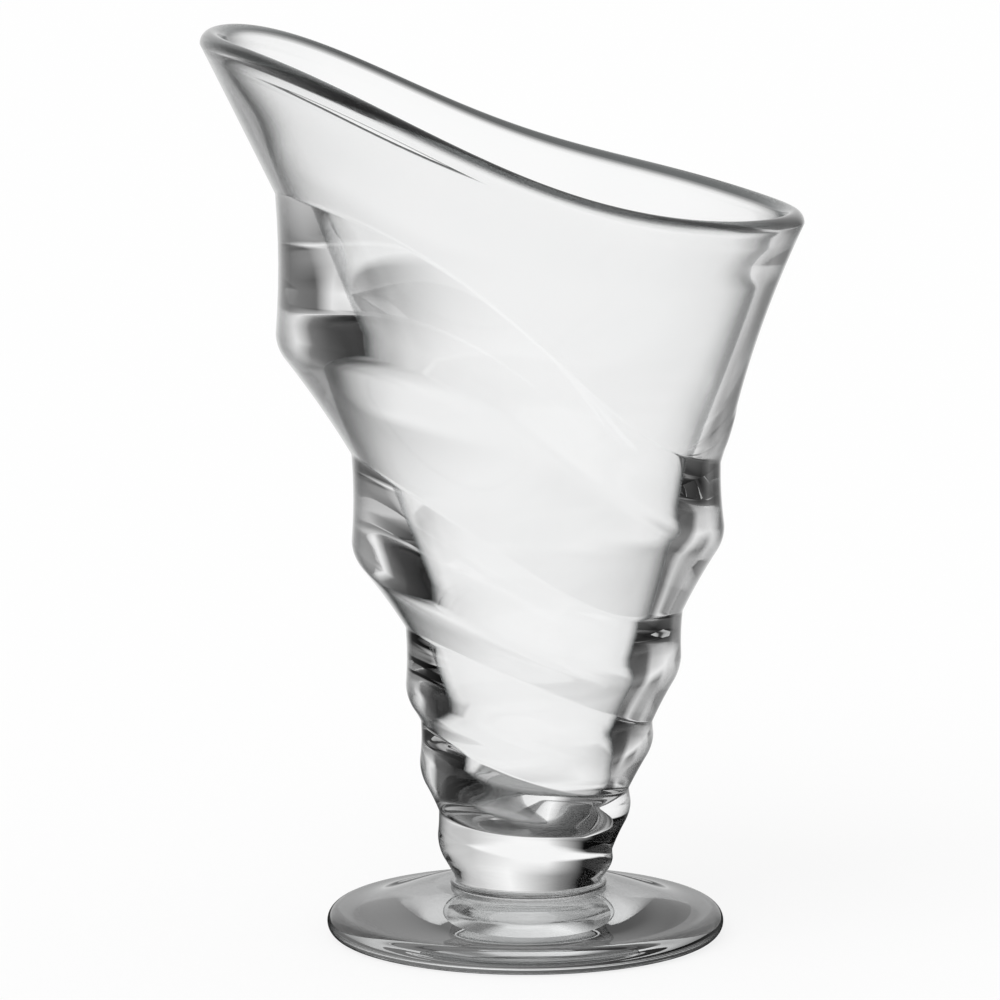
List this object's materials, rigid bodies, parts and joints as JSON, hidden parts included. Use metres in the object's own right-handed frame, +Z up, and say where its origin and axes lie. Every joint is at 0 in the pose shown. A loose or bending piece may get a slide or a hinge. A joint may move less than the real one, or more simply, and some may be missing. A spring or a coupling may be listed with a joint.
{
  "type": "parfait glass",
  "caption": "Clear pressed-glass dessert glass with a helically stepped bowl, a swept slanted lip and a round foot, for serving parfaits and sundaes.",
  "frame": {"origin": "centre of the foot, on the surface that the glass stands on", "axes": "+Z up along the foot's axis; +X towards the low side of the slanted lip, so the high lip is at -X"},
  "size_m": [0.1122, 0.1087, 0.1709],
  "materials": {
    "bowl_glass": "clear, fire polished",
    "weld_glass": "clear, as welded",
    "foot_glass": "clear, fire polished"
  },
  "bodies": {
    "root": {"bowl": "bowl_glass", "weld_collar": "weld_glass", "foot": "foot_glass"}
  },
  "joints": []
}
